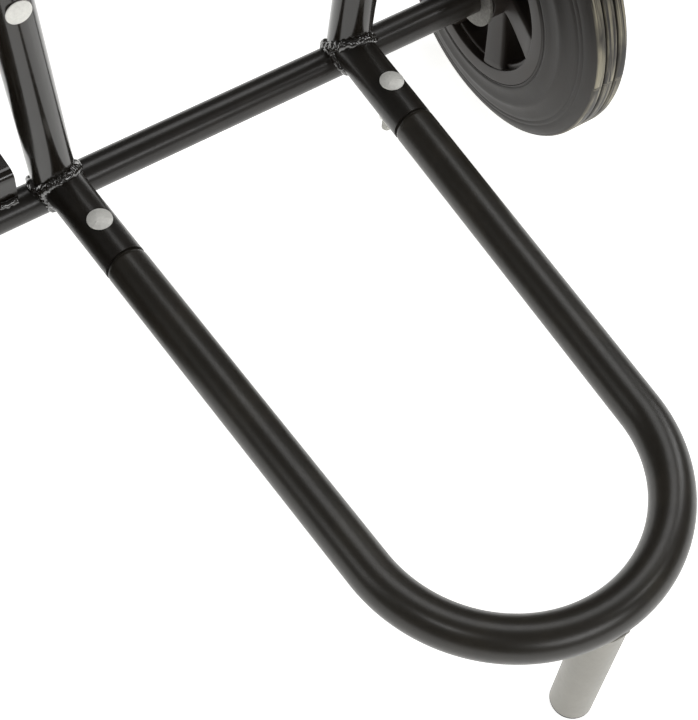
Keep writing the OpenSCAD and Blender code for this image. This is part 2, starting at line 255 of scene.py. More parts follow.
def pipe_shell(path, outer, inner, around=48):
    """A hollow tube: the outer skin runs along the path and the bore runs back, joined at both ends."""
    both = np.vstack([path, path[::-1]])
    normal, side = path_frames(path)[1:]
    n2, s2 = np.vstack([normal, normal[::-1]]), np.vstack([side, side[::-1]])
    r = np.concatenate([np.broadcast_to(outer, len(path)), np.broadcast_to(inner, len(path))[::-1]])
    t = np.linspace(0, 2 * np.pi, around, endpoint=False)
    points = both[:, None] + r[:, None, None] * (np.cos(t)[None, :, None] * n2[:, None]
                                                 + np.sin(t)[None, :, None] * s2[:, None])
    return points.reshape(-1, 3), ring_faces(len(both), around, closed=True)


def distance_along(path):
    """How far each point of a path is from the nearer end, along the path."""
    ahead = np.concatenate([[0.0], np.cumsum(np.linalg.norm(np.diff(path, axis=0), axis=1))])
    return np.minimum(ahead, ahead[-1] - ahead)


def necked(distance, full, start, length):
    """Radius of a plugged tube end: R - step, rising to R by a quarter circle over the shoulder."""
    rise = np.clip((distance - start) / length, 0, 1)
    return full - PLUG_STEP + PLUG_STEP * np.sqrt(1 - (1 - rise) ** 2)


def lumps(length, around, count, seed, closed=True):
    """Smooth random lumps on a ring-by-round grid: a sum of sines of random phase, about -1 to 1."""
    rng = np.random.default_rng(seed)
    s = np.linspace(0, 2 * np.pi, length, endpoint=False)[:, None]
    t = np.linspace(0, 2 * np.pi, around, endpoint=False)[None, :]
    total = np.zeros((length, around))
    for k in range(14):
        along = rng.integers(max(count // 3, 1), count * 2)
        across = rng.integers(0, 4)
        total += np.sin(along * s + across * t + rng.uniform(0, 2 * np.pi)) / (1 + 0.06 * k)
    return total / np.abs(total).max()


def on_body(piece, body, material, *nodes, slot=None):
    """Gives a piece its material, body and the CAD nodes that it stands for; the slot argument is not used.
    """
    piece.data.materials.append(material)
    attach(piece, body)
    if nodes:
        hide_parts(*nodes)
    return piece


# ---- Material helpers ----
def node(tree, kind, settings=None, links=None):
    """Adds one node, sets its properties and input values, and links inputs to (node, output) pairs."""
    made = tree.nodes.new(kind)
    for key, value in (settings or {}).items():
        if key in made.inputs.keys():
            made.inputs[key].default_value = value
        else:
            setattr(made, key, value)
    for key, (source, output) in (links or {}).items():
        tree.links.new(source.outputs[output], made.inputs[key])
    return made


def ramp(tree, source, output, low, high, dark=(0, 0, 0, 1), light=(1, 1, 1, 1)):
    """A two-stop colour ramp on one output."""
    made = node(tree, "ShaderNodeValToRGB", links={"Fac": (source, output)})
    stops = made.color_ramp.elements
    stops[0].position, stops[0].color = low, dark
    stops[1].position, stops[1].color = high, light
    return made


def noise(tree, where, size, output="Object", **settings):
    """Noise whose blobs are about one size across, in metres, or a bare pattern for a size of one."""
    return node(tree, "ShaderNodeTexNoise", {"Scale": 1 / size, **settings}, {"Vector": (where, output)})


def maths(tree, operation, first, second):
    """One sum or product of two (node, output) pairs."""
    made = node(tree, "ShaderNodeMath", {"operation": operation})
    for socket, (source, output) in zip(made.inputs, (first, second)):
        tree.links.new(source.outputs[output], socket)
    return made


def roughened(tree, shader, pattern, low, high, start=0.0, end=1.0):
    """Roughness from low to high as a pattern's factor goes from start to end."""
    spread = node(tree, "ShaderNodeMapRange",
                  {"From Min": start, "From Max": end, "To Min": low, "To Max": high},
                  {"Value": (pattern, "Fac")})
    tree.links.new(spread.outputs["Result"], shader.inputs["Roughness"])


def bumped(tree, shader, source, output, strength, depth):
    """Relief of one output, with its depth in mm."""
    bump = node(tree, "ShaderNodeBump", {"Strength": strength, "Distance": depth * MM},
                {"Height": (source, output)})
    tree.links.new(bump.outputs["Normal"], shader.inputs["Normal"])


def dial(shader, values):
    """Sets a shader's inputs by name."""
    for key, value in values.items():
        shader.inputs[key].default_value = value


def bare(name):
    """A new material with its surface shader: (material, tree, shader)."""
    made = bpy.data.materials.get(name)
    if made:
        return made, None, None
    made = bpy.data.materials.new(name)
    made.use_nodes = True
    return made, made.node_tree, made.node_tree.nodes["Principled BSDF"]


def rgba(colour, gain=1.0):
    """A linear colour times a gain, no channel over 1, with full alpha."""
    return tuple(min(c * gain, 1.0) for c in colour) + (1.0,)


def coat(name, colour, rough=0.17, peel_mm=1.4, peel=0.1, dust_gain=1.8, gloss=0.6):
    """Powder coat: sprayed powder fused to a skin, which gives slight orange peel, soft gloss and specks."""
    made, tree, shader = bare(name)
    if tree is None:
        return made
    where = node(tree, "ShaderNodeTexCoord")
    peel_noise = noise(tree, where, peel_mm * MM, Detail=2.0)
    cloud = noise(tree, where, 38 * MM, Detail=6.0, Roughness=0.65)
    scuff = noise(tree, where, 5 * MM, Detail=9.0, Roughness=0.8)
    tone = node(tree, "ShaderNodeMix", {"data_type": "RGBA"})
    tone.inputs[6].default_value = rgba(colour)
    tone.inputs[7].default_value = rgba(colour, dust_gain)
    tree.links.new(ramp(tree, cloud, "Fac", 0.48, 0.78).outputs["Color"], tone.inputs[0])
    tree.links.new(tone.outputs[2], shader.inputs["Base Color"])
    roughened(tree, shader, scuff, rough - 0.04, rough + 0.14, 0.35, 0.75)
    bumped(tree, shader, peel_noise, "Fac", peel, 0.15)
    dial(shader, {"IOR": 1.45, "Specular IOR Level": 0.35, "Coat Weight": gloss, "Coat IOR": 1.62,
                  "Coat Roughness": rough * 0.8})
    return made


def weld_coat(name, colour):
    """Powder coat over a weld: pooled and wet-looking, so glossier, over sharp small ripples."""
    made, tree, shader = bare(name)
    if tree is None:
        return made
    where = node(tree, "ShaderNodeTexCoord")
    ripple = noise(tree, where, 2.6 * MM, Detail=4.0, Roughness=0.6)
    grit = node(tree, "ShaderNodeTexVoronoi", {"Scale": 1 / (3.2 * MM)}, {"Vector": (where, "Object")})
    height = maths(tree, "ADD", (ripple, "Fac"), (grit, "Distance"))
    bumped(tree, shader, height, "Value", 0.55, 0.8)
    tone = ramp(tree, ripple, "Fac", 0.35, 0.75, rgba(colour, 0.8), rgba(colour, 1.7))
    tree.links.new(tone.outputs["Color"], shader.inputs["Base Color"])
    dial(shader, {"Roughness": 0.16, "Coat Weight": 1.0, "Coat IOR": 1.8, "Coat Roughness": 0.05})
    return made


def zinc_plate(name, colour, rough=0.42, stain=0.88):
    """Zinc plate: passivated to a chalky pale skin, part metal and part matt, with fine mottling."""
    made, tree, shader = bare(name)
    if tree is None:
        return made
    where = node(tree, "ShaderNodeTexCoord")
    mottle = noise(tree, where, 2.2 * MM, Detail=7.0, Roughness=0.7)
    scratch = noise(tree, where, 0.9 * MM, Detail=3.0, Distortion=2.5)
    tone = ramp(tree, mottle, "Fac", 0.3, 0.7, rgba(colour, stain), rgba(colour, 1.05))
    tree.links.new(tone.outputs["Color"], shader.inputs["Base Color"])
    roughened(tree, shader, scratch, rough - 0.06, rough + 0.2)
    bumped(tree, shader, scratch, "Fac", 0.25, 0.08)
    shader.inputs["Metallic"].default_value = 0.25
    return made


def tyre_rubber(name, colour, dust):
    """Solid moulded rubber: satin grey-black with mould sheen, painted shade in the tread's grooves, and
    beige dirt in streaks round the tread.
    """
    made, tree, shader = bare(name)
    if tree is None:
        return made
    around = node(tree, "ShaderNodeUVMap", {"uv_map": "Around"})
    tread = node(tree, "ShaderNodeAttribute", {"attribute_name": "tread"})
    groove = node(tree, "ShaderNodeAttribute", {"attribute_name": "groove"})

    def streaks(along, across, **settings):
        """Noise stretched along the tread; the map runs in metres, and so do both sizes."""
        stretch = node(tree, "ShaderNodeMapping", {"Scale": (1 / along, 1 / across, 1.0)},
                       {"Vector": (around, "UV")})
        return noise(tree, stretch, 1.0, "Vector", **settings)

    streak = streaks(0.09, 0.0025, Detail=5.0, Roughness=0.62)
    patch = streaks(0.05, 0.02, Detail=3.0)
    streak_mask = ramp(tree, streak, "Fac", 0.42, 0.62)
    patch_mask = ramp(tree, patch, "Fac", 0.36, 0.56)
    both = maths(tree, "MULTIPLY", (streak_mask, "Color"), (patch_mask, "Color"))
    masked = maths(tree, "MULTIPLY", (both, "Value"), (tread, "Fac"))
    where = node(tree, "ShaderNodeTexCoord")
    cloud = noise(tree, where, 30 * MM, Detail=7.0, Roughness=0.7)
    base = ramp(tree, cloud, "Fac", 0.3, 0.75, rgba(colour, 0.8), rgba(colour, 1.35))
    # Painted shade: in the tread's grooves the rubber is mixed to a quarter of its colour.
    dark = node(tree, "ShaderNodeMix", {"data_type": "RGBA"})
    tree.links.new(groove.outputs["Fac"], dark.inputs[0])
    tree.links.new(base.outputs["Color"], dark.inputs[6])
    dark.inputs[7].default_value = rgba(colour, 0.25)
    tone = node(tree, "ShaderNodeMix", {"data_type": "RGBA"})
    tree.links.new(masked.outputs["Value"], tone.inputs[0])
    tree.links.new(dark.outputs[2], tone.inputs[6])
    tone.inputs[7].default_value = rgba(dust)
    tree.links.new(tone.outputs[2], shader.inputs["Base Color"])
    rings = streaks(0.3, 0.0012, Detail=3.0)
    grain = noise(tree, where, 0.8 * MM, Detail=3.0)
    height = maths(tree, "ADD", (rings, "Fac"), (grain, "Fac"))
    bumped(tree, shader, height, "Value", 0.28, 0.25)
    roughened(tree, shader, cloud, 0.42, 0.62)
    shader.inputs["IOR"].default_value = 1.52
    return made


def moulded(name, colour, rough=0.45, grain_mm=0.9, grain=0.18, lighten=1.5):
    """Moulded plastic or rubber: an even spark-eroded grain with faint flow clouds."""
    made, tree, shader = bare(name)
    if tree is None:
        return made
    where = node(tree, "ShaderNodeTexCoord")
    fine = noise(tree, where, grain_mm * MM, Detail=2.0)
    cloud = noise(tree, where, 22 * MM, Detail=5.0)
    tone = ramp(tree, cloud, "Fac", 0.35, 0.75, rgba(colour), rgba(colour, lighten))
    tree.links.new(tone.outputs["Color"], shader.inputs["Base Color"])
    roughened(tree, shader, cloud, rough - 0.06, rough + 0.1)
    bumped(tree, shader, fine, "Fac", grain, 0.12)
    return made


# ---- Paths and joints of the frame ----
def upright_axis(side):
    """Foot and direction of one upright's axis; side is 1 or -1 along X."""
    foot = np.array([side * UPRIGHT_X, AXLE.y, AXLE.z])
    return foot, np.array([side * math.sin(SPLAY), 0.0, math.cos(SPLAY)])


def toe_axis(side):
    """Start and direction of one toe leg's axis."""
    start = np.array([side * UPRIGHT_X, AXLE.y, AXLE.z + TOE_RISE])
    return start, np.array([-side * math.sin(TOE_IN), -math.cos(TOE_IN), 0.0])


def arc(centre, u, v, radius, turn, steps):
    """Points of an arc: C + R (u cos t + v sin t) for t from 0 to turn."""
    t = np.linspace(0, turn, steps)[:, None]
    return centre + radius * (np.cos(t) * u + np.sin(t) * v)


def toe_path(start):
    """The toe loop's middle line: right leg, front bend, left leg; start is where its plugged end begins."""
    p, d = toe_axis(1)
    bend_ahead = (AXLE.y - TOE_FRONT - UPRIGHT_X * math.cos(TOE_IN)) / (1 - math.sin(TOE_IN))
    radius = UPRIGHT_X * math.cos(TOE_IN) - bend_ahead * math.sin(TOE_IN)
    end = UPRIGHT_X * math.sin(TOE_IN) + bend_ahead * math.cos(TOE_IN)
    centre = np.array([0.0, AXLE.y - bend_ahead, AXLE.z + TOE_RISE])
    leg = p + np.linspace(start, end, 60)[:, None] * d
    bend = arc(centre, np.array([math.cos(TOE_IN), -math.sin(TOE_IN), 0.0]),
               np.array([-math.sin(TOE_IN), -math.cos(TOE_IN), 0.0]), radius, math.pi - 2 * TOE_IN, 97)
    mirror = np.array([-1.0, 1.0, 1.0])
    return np.vstack([leg[:-1], bend, (leg * mirror)[::-1][1:]])


def handle_path():
    """The handle's middle line: left rail up, bend, slope, top corner, top bar, and down the right."""
    foot, up = upright_axis(1)
    back = np.array([0.0, 1.0, 0.0])
    rail = foot + np.linspace(RAIL_START - PLUG_LEN, RAIL_END, 80)[:, None] * up
    elbow = arc(rail[-1] + HANDLE_BEND * back, -back, up, HANDLE_BEND, KICK, 20)
    slope_dir = math.cos(KICK) * up + math.sin(KICK) * back
    slope_end = elbow[-1] + KICK_LEN * slope_dir
    lean = math.asin(slope_dir[0])
    rise = slope_dir - np.array([slope_dir[0], 0.0, 0.0])
    rise /= np.linalg.norm(rise)
    inward = -math.cos(lean) * np.array([1.0, 0.0, 0.0]) + math.sin(lean) * rise
    corner = arc(slope_end + HANDLE_BEND * inward, -inward, slope_dir, HANDLE_BEND, math.pi / 2 + lean, 40)
    middle = corner[-1] * np.array([0.0, 1.0, 1.0])
    half = np.vstack([rail, elbow[1:], corner, (corner[-1] * 0.5 + middle * 0.5)[None]])
    mirror = np.array([-1.0, 1.0, 1.0])
    return np.vstack([half * mirror, middle[None], half[::-1]])


def meeting_line(p, d, r, q, e, big_r, turns):
    """Where a round bar meets another: on bar 1, P = p + s d + r (u cos t + v sin t), the s whose distance
    from bar 2's axis is its radius R, from the quadratic in s; where there is none, the nearest s."""
    d, e = d / np.linalg.norm(d), e / np.linalg.norm(e)
    u = np.cross(d, e)
    u /= np.linalg.norm(u)
    v = np.cross(d, u)
    t = np.linspace(0, 2 * np.pi, turns, endpoint=False)
    base = p + r * (np.cos(t)[:, None] * u + np.sin(t)[:, None] * v)
    return base, reach(base, d, q, e, big_r)


def reach(base, d, q, e, big_r):
    """How far each point of a ring runs along d to the surface of a bar about q along e: the larger root
    of |off-axis part|^2 = R^2, or the nearest s where the ray misses the bar."""
    w = base - q
    w_off = w - (w @ e)[:, None] * e
    d_off = d - (d @ e) * e
    a, b = d_off @ d_off, 2 * w_off @ d_off
    c = np.einsum("ij,ij->i", w_off, w_off) - big_r ** 2
    return (-b + np.sqrt(np.maximum(b * b - 4 * a * c, 0.0))) / (2 * a)


def bead(line, seed, radius, lump, closed=True):
    """A weld: a round section of lumpy radius carried along the line where two tubes meet."""
    length = np.linalg.norm(np.diff(line, axis=0), axis=1).sum()
    wave = lumps(len(line), 16, int(length / (7.0 * MM)), seed)
    return swept(line, radius, around=16, closed=closed, wobble=wave * lump)


# ---- Pieces ----
class PieceOperator:
    """What every operator of this file shares: the sizes and colours of the scene."""
    bl_options = {"REGISTER", "UNDO"}

    @property
    def sizes(self):
        return bpy.context.scene.dolly_sizes

    @property
    def colours(self):
        return bpy.context.scene.dolly_colours

    def leg_finish(self):
        return coat("Satin pale grey powder coat", self.colours.leg_coat, 0.38, peel=0.08,
                    dust_gain=1.15, gloss=0.1)

    def shade_darkened_zinc_finish(self):
        # Painted shade: the zinc plate is darkened to #77756f with deeper mottling, for the washers at the
        # hubs and the axle rod, which sit in shade by the hubs.
        return zinc_plate("Zinc plate darkened for painted shade", linear("#77756f"), 0.5, 0.45)


class OBJECT_OT_dolly_tyres(PieceOperator, bpy.types.Operator):
    """Solid tyres: a tapered section with moulded rings on its walls and three ribs round the tread"""
    bl_idname = "object.dolly_tyres"
    bl_label = "Tyres"

    def execute(self, context):
        half = np.array([  # distance from the wheel's middle plane and radius, in mm, hub to tread
            (27.0, 76.2), (26.7, 76.9), (25.6, 77.4), (25.5, 78.2), (26.3, 79.0), (26.2, 80.5),
            (25.1, 83.5), (24.5, 87.0), (24.4, 90.5), (24.6, 93.0), (24.5, 94.6), (23.7, 96.4),
            (22.3, 98.6), (21.2, 102.0), (20.3, 106.0), (19.7, 108.6), (19.0, 109.2), (19.0, 110.0),
            (19.3, 110.6), (18.8, 112.6), (18.1, 113.2), (18.1, 114.0), (18.3, 114.6), (17.4, 117.6),
            (16.4, 120.2), (15.5, 121.6), (14.8, 122.4), (14.5, 123.2), (13.8, 124.2), (12.6, 124.8),
            (11.5, 125.0), (7.2, 125.0), (6.5, 124.8), (6.1, 124.2), (5.9, 123.2), (5.2, 122.7),
            (4.5, 123.2), (4.3, 124.2), (3.9, 124.8), (3.2, 125.0), (1.0, 125.0)])
        wall = np.vstack([half, (half * (-1, 1))[::-1], [(-26.0, 76.05), (0.0, 76.0), (26.0, 76.05)]]) * MM
        drawn = 125.0 * MM
        wall[:, 1] *= WHEEL_R / drawn
        steps = np.concatenate([[0.0], np.cumsum(np.linalg.norm(np.diff(wall, axis=0), axis=1))])
        turns = 256
        for side, name in ((1, "right"), (-1, "left")):
            points, faces = revolved(wall, (side * WHEEL_X, AXLE.y, AXLE.z), (side, 0, 0), around=turns)
            around = np.tile(np.arange(turns) / turns * 2 * np.pi * WHEEL_R, len(wall))
            along = np.repeat(steps, turns)
            across = np.repeat(np.abs(wall[:, 0]), turns) / MM
            radius = np.repeat(wall[:, 1], turns) / MM * drawn / WHEEL_R
            tread = np.clip((radius - 123.6) / 1.0, 0, 1)
            # Painted shade: this mask marks the tread's grooves, where the rubber is darkened to a quarter
            # of its colour.
            groove = np.clip((124.6 - radius) / 1.2, 0, 1) * (across < 9) * (radius > 120)
            piece = mesh_piece("tyre_%s_rubber" % name, points, faces, 50.0,
                               uv=np.stack([around, along], 1),
                               attributes={"tread": tread, "groove": groove})
            on_body(piece, "wheel_" + name, tyre_rubber("Solid moulded rubber", self.colours.rubber,
                                                        self.colours.dust), "tyre_" + name)
        return {"FINISHED"}


class OBJECT_OT_dolly_hubs(PieceOperator, bpy.types.Operator):
    """Moulded hubs: a rim ring, a stepped boss and six flared spokes whose faces run flush into the ring"""
    bl_idname = "object.dolly_hubs"
    bl_label = "Hubs"

    def spoke(self, angle):
        """A loft from boss to ring: width and depth are smooth functions of radius, with rounded corners."""
        steps = np.linspace(0.0, 1.0, 22)
        out = (17.0 + 48.5 * steps) * MM
        flare = steps ** 2 * (3 - 2 * steps)
        half_w = (11.2 + 2.0 * flare + 2.6 * np.clip((steps - 0.82) / 0.18, 0, 1) ** 2) * MM
        half_d = (15.5 + 10.6 * np.clip((steps - 0.1) / 0.8, 0, 1) ** 1.15) * MM
        t = np.linspace(0, 2 * np.pi, 40, endpoint=False)
        power = 0.22
        cw = np.sign(np.cos(t)) * np.abs(np.cos(t)) ** power
        cd = np.sign(np.sin(t)) * np.abs(np.sin(t)) ** power
        across, deep = half_w[:, None] * cw, half_d[:, None] * cd
        far = np.broadcast_to(out[:, None], across.shape)
        ca, sa = math.cos(angle), math.sin(angle)
        # Local axes: down is angle 0 and +Y is 90 degrees, as on the frame's own hub.
        points = np.stack([deep, far * sa + across * ca, -far * ca + across * sa], -1)
        return points.reshape(-1, 3), ring_faces(len(steps), len(t))

    def execute(self, context):
        ring = rounded_path([(-27, 64), (27, 64), (27, 75.9), (-27, 75.9)], [1.2, 1.2, 0.8, 0.8]) * MM
        boss = rounded_path([(-31, 13.1), (31, 13.1), (31, 19.4), (28.6, 19.4), (28.6, 21), (-28.6, 21),
                             (-28.6, 19.4), (-31, 19.4)], [0.3, 0.3, 0.7, 0.2, 0.9, 0.9, 0.2, 0.7]) * MM
        lip = rounded_path([(-21, 60.5), (21, 60.5), (21, 66), (-21, 66)], [2.0, 2.0, 0.3, 0.3]) * MM
        for side, name in ((1, "right"), (-1, "left")):
            middle = np.array((side * WHEEL_X, AXLE.y, AXLE.z))
            shells = [revolved(section, middle, (side, 0, 0), around=160) for section in (ring, boss, lip)]
            for k in range(6):
                points, faces = self.spoke(math.radians(35 + 60 * k))
                shells.append((points * (side, 1, 1) + middle, faces))
            piece = mesh_piece("hub_%s_moulding" % name, *joined(shells), 40.0)
            on_body(piece, "wheel_" + name, moulded("Moulded black nylon", self.colours.nylon, 0.42),
                    "hub_" + name)
        return {"FINISHED"}


class OBJECT_OT_dolly_toe_loop(PieceOperator, bpy.types.Operator):
    """Toe loop: one bent tube whose necked ends plug into the sockets"""
    bl_idname = "object.dolly_toe_loop"
    bl_label = "Toe loop"

    def execute(self, context):
        path = toe_path(TOE_PLUG_START)
        ahead = distance_along(path) + TOE_PLUG_START
        # More rings at both necks, where the radius changes within a few millimetres.
        fine = np.sort(np.concatenate([ahead[:60], SOCKET_LEN + np.linspace(0.8, 6.0, 24) * MM]))
        start, along = toe_axis(1)
        leg = start + fine[:, None] * along
        outer_leg = necked(fine, TOE_R, SOCKET_LEN + TOE_PLUG_GAP, 3.4 * MM)
        bend = path[60:-60]
        whole = np.vstack([leg, bend, (leg * (-1, 1, 1))[::-1]])
        outer = np.concatenate([outer_leg, np.full(len(bend), TOE_R), outer_leg[::-1]])
        piece = mesh_piece("toe_loop_tube", *pipe_shell(whole, outer, outer - WALL, around=64), 50.0)
        on_body(piece, "frame", coat("Satin black powder coat", self.colours.loop_coat, 0.36, gloss=0.4),
                "toe_loop")
        return {"FINISHED"}


class OBJECT_OT_dolly_handle(PieceOperator, bpy.types.Operator):
    """Handle frame: one bent tube, splayed rails, a backward bend and a round-cornered top bar"""
    bl_idname = "object.dolly_handle"
    bl_label = "Handle frame"

    def execute(self, context):
        path = handle_path()
        outer = necked(distance_along(path), UPRIGHT_R, 68 * MM, 6 * MM)
        piece = mesh_piece("handle_tube", *pipe_shell(path, outer, outer - WALL, around=56), 50.0)
        on_body(piece, "frame", coat("Gloss black powder coat", self.colours.coat), "handle_frame")
        return {"FINISHED"}


class OBJECT_OT_dolly_welds(PieceOperator, bpy.types.Operator):
    """Welds: lumpy fillets round every coped joint, coated with the frame"""
    bl_idname = "object.dolly_welds"
    bl_label = "Welds"

    def execute(self, context):
        radius, lump = self.sizes.bead_radius, self.sizes.bead_lump
        cross, along = np.array(AXLE), np.array([1.0, 0.0, 0.0])
        groups = {"weld_uprights": [], "weld_toe_sockets": [], "weld_cradle_bars": []}
        for side in (1, -1):
            foot, up = upright_axis(side)
            base, s = meeting_line(foot, up, UPRIGHT_R, cross, along, CROSS_R, 120)
            line = base + np.maximum(s, 0)[:, None] * up
            for k in range(2):
                shift = (0, 0, k * 1.2 * MM)
                groups["weld_uprights"].append(bead(line + shift, 11 + side + 7 * k, radius, lump))
            p, d = toe_axis(side)
            base, near_up = meeting_line(p, d, TOE_R, foot, up, UPRIGHT_R, 120)
            near_cross = reach(base, d, cross, along, CROSS_R)
            line = base + np.maximum(near_up, near_cross)[:, None] * d
            for k in range(2):
                shift = d * k * 1.4 * MM
                groups["weld_toe_sockets"].append(bead(line + shift, 31 + side + 9 * k, radius, lump))
            for height in CRADLE_HEIGHTS:
                half = UPRIGHT_X + height * math.tan(SPLAY)
                lean = math.asin(half / CRADLE_BOW)
                start = np.array([side * half, AXLE.y, AXLE.z + height])
                way = np.array([-side * math.cos(lean), math.sin(lean), 0.0])
                base, s = meeting_line(start, way, CRADLE_R, foot, up, UPRIGHT_R, 90)
                groups["weld_cradle_bars"].append(
                    bead(base + s[:, None] * way, 51 + side, radius * 0.8, lump * 0.7))
        leg = np.array([0.0, TOE_FRONT, AXLE.z + TOE_RISE])
        base, s = meeting_line(leg, np.array([0, 0, -1.0]), LEG_R, leg, along, TOE_R, 90)
        plate_lo, plate_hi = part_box("foot_plate")
        ends = np.linspace(plate_lo.x + 2 * MM, plate_hi.x - 2 * MM, 60)
        seams = []
        for k, y in enumerate((-3.2 * MM, 3.2 * MM)):
            height = math.sqrt(CROSS_R ** 2 - y ** 2)
            seam = np.stack([ends, np.full(60, AXLE.y + y), np.full(60, AXLE.z + height)], 1)
            seams.append(bead(seam, 71 + k, radius * 0.85, lump, closed=False))
        groups["weld_foot_plate"] = seams
        finish = weld_coat("Powder coat pooled over welds", self.colours.coat)
        for name, shells in groups.items():
            on_body(mesh_piece(name, *joined(shells), 60.0), "frame", finish, slot="axle_tube")
        thin = bead(base + s[:, None] * np.array([0, 0, -1.0]), 91, 1.1 * MM, 0.25 * MM)
        on_body(mesh_piece("weld_leg", *thin, 60.0), "frame", self.leg_finish(), slot="toe_leg")
        return {"FINISHED"}


class OBJECT_OT_dolly_bolts(PieceOperator, bpy.types.Operator):
    """Carriage bolts: wide low domed heads, plain shanks and threaded ends"""
    bl_idname = "object.dolly_bolts"
    bl_label = "Carriage bolts"

    def bolt(self, seat, up, length):
        """Head: h(r) is a sphere cap on a short rim, with three raised ticks; thread: r falls by a
        triangle wave of the pitch along the last stretch of the shank."""
        head, tall = self.sizes.head_radius, self.sizes.head_height
        rim = 0.8 * MM
        cap = (head ** 2 + (tall - rim) ** 2) / (2 * (tall - rim))
        r = np.linspace(1.0, 0.0, 30) * (head - 0.15 * MM)
        dome = np.stack([tall - (cap - np.sqrt(cap ** 2 - r ** 2)), np.maximum(r, 0.02 * MM)], 1)
        cut, pitch, shank = 12 * MM, 1.25 * MM, 4 * MM
        rings = int(cut / (0.1 * MM))
        screw = np.stack([np.linspace(-length, -length + cut, rings), np.full(rings, 3.92 * MM)], 1)
        profile = np.vstack([[(-length - 0.4 * MM, 0.02 * MM), (-length - 0.4 * MM, 3.3 * MM)], screw,
                             [(-length + 12.3 * MM, shank), (-0.05 * MM, shank), (0.0, head - 0.4 * MM),
                              (0.25 * MM, head), (rim - 0.1 * MM, head)], dome])
        around = 72
        points, faces = revolved(profile, (0, 0, 0), (0, 0, 1), around, closed=False)
        grid = points.reshape(len(profile), around, 3)
        turn = np.arctan2(grid[..., 1], grid[..., 0])
        flat = np.hypot(grid[..., 0], grid[..., 1])
        threaded = slice(2, 2 + rings)
        phase = (grid[threaded, :, 2] / pitch + turn[threaded] / (2 * np.pi)) % 1.0
        shrink = 1 - 0.14 * np.abs(2 * phase - 1)
        grid[threaded, :, :2] *= shrink[..., None]
        domed = slice(len(profile) - len(dome), len(profile))
        ticks = sum(np.exp(-((flat[domed] * np.sin(turn[domed] - a)) / (0.55 * MM)) ** 4)
                    * (np.cos(turn[domed] - a) > 0) for a in np.radians((90, 210, 330)))
        grid[domed, :, 2] += (0.16 * MM * ticks * (flat[domed] > 3.4 * MM) * (flat[domed] < 7.2 * MM))
        return stood(grid.reshape(-1, 3), up, seat), faces

    def execute(self, context):
        finish = zinc_plate("Bright zinc plate", self.colours.zinc)
        top = AXLE.z + TOE_RISE + TOE_R
        toe = [self.bolt((s * BOLT_X, BOLT_Y, top), (0, 0, 1), BOLT_LEN) for s in (1, -1)]
        rail = [self.bolt((s * RAIL_BOLT_X, AXLE.y - UPRIGHT_R, RAIL_BOLT_Z), (0, -1, 0), BOLT_LEN)
                for s in (1, -1)]
        on_body(mesh_piece("toe_bolts_turned", *joined(toe), 40.0), "frame", finish, "toe_bolts")
        on_body(mesh_piece("upright_bolts_turned", *joined(rail), 40.0), "frame", finish, "upright_bolts")
        return {"FINISHED"}


class OBJECT_OT_dolly_nuts(PieceOperator, bpy.types.Operator):
    """Lock nuts and washers: chamfered hexagons with a rounded collar, and plain rolled washers"""
    bl_idname = "object.dolly_nuts"
    bl_label = "Nuts and washers"

    def nut(self, seat, up):
        """R(t, z) is the smaller of the hexagon's wall and the chamfer cone; the collar is a round step."""
        around = 96
        t = np.linspace(0, 2 * np.pi, around, endpoint=False)
        flat = 6.5 * MM
        hexagon = flat / np.cos((t + np.pi / 6) % (np.pi / 3) - np.pi / 6)
        z = np.array([0.0, 0.0, 0.3, 0.7, 1.2, 4.2, 4.7, 5.0, 5.2, 5.2, 5.6, 6.4, 6.9, 7.0, 7.0]) * MM
        chamfer = np.array([4.0, 6.2, 6.7, 7.1, 7.6, 7.6, 7.1, 6.7, 6.3, 5.7, 5.6, 5.4, 4.9, 4.5, 4.0]) * MM
        wall = np.minimum(hexagon[None], chamfer[:, None])
        points = np.stack([wall * np.cos(t), wall * np.sin(t), np.broadcast_to(z[:, None], wall.shape)], -1)
        return stood(points.reshape(-1, 3), up, seat), ring_faces(len(z), around, closed=True)

    def washer(self, seat, up, bore, edge, thick, soft):
        """A flat ring of rounded section, with its sizes in mm."""
        section = rounded_path([(0, bore), (thick, bore), (thick, edge), (0, edge)], [soft] * 4, 4) * MM
        return revolved(section, seat, up, around=96)

    def execute(self, context):
        finish = zinc_plate("Bright zinc plate", self.colours.zinc)
        shade_darkened_zinc = self.shade_darkened_zinc_finish()
        low = AXLE.z + TOE_RISE - TOE_R
        behind = AXLE.y + UPRIGHT_R
        thick = WASHER_MM[2] * MM
        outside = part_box("outer_washers")[1].x
        sides = (1, -1)
        made = {
            "toe_nuts": [self.nut((s * BOLT_X, BOLT_Y, low - thick), (0, 0, -1)) for s in sides],
            "toe_washers": [self.washer((s * BOLT_X, BOLT_Y, low), (0, 0, -1), *WASHER_MM) for s in sides],
            "upright_nuts": [self.nut((s * RAIL_BOLT_X, behind + thick, RAIL_BOLT_Z), (0, 1, 0))
                             for s in sides],
            "upright_washers": [self.washer((s * RAIL_BOLT_X, behind, RAIL_BOLT_Z), (0, 1, 0), *WASHER_MM)
                                for s in sides],
            "inner_washers": [self.washer((s * CROSS_END, AXLE.y, AXLE.z), (s, 0, 0), *WHEEL_WASHER_MM)
                              for s in sides],
            "outer_washers": [self.washer((s * outside - s * WHEEL_WASHER_MM[2] * MM, AXLE.y, AXLE.z),
                                          (s, 0, 0), *WHEEL_WASHER_MM) for s in sides],
        }
        # The washers at the hubs take the darkened zinc, which is painted shade.
        for name, shells in made.items():
            on_body(mesh_piece(name + "_pressed", *joined(shells), 35.0), "frame",
                    shade_darkened_zinc if name in ("inner_washers", "outer_washers") else finish, name)
        return {"FINISHED"}


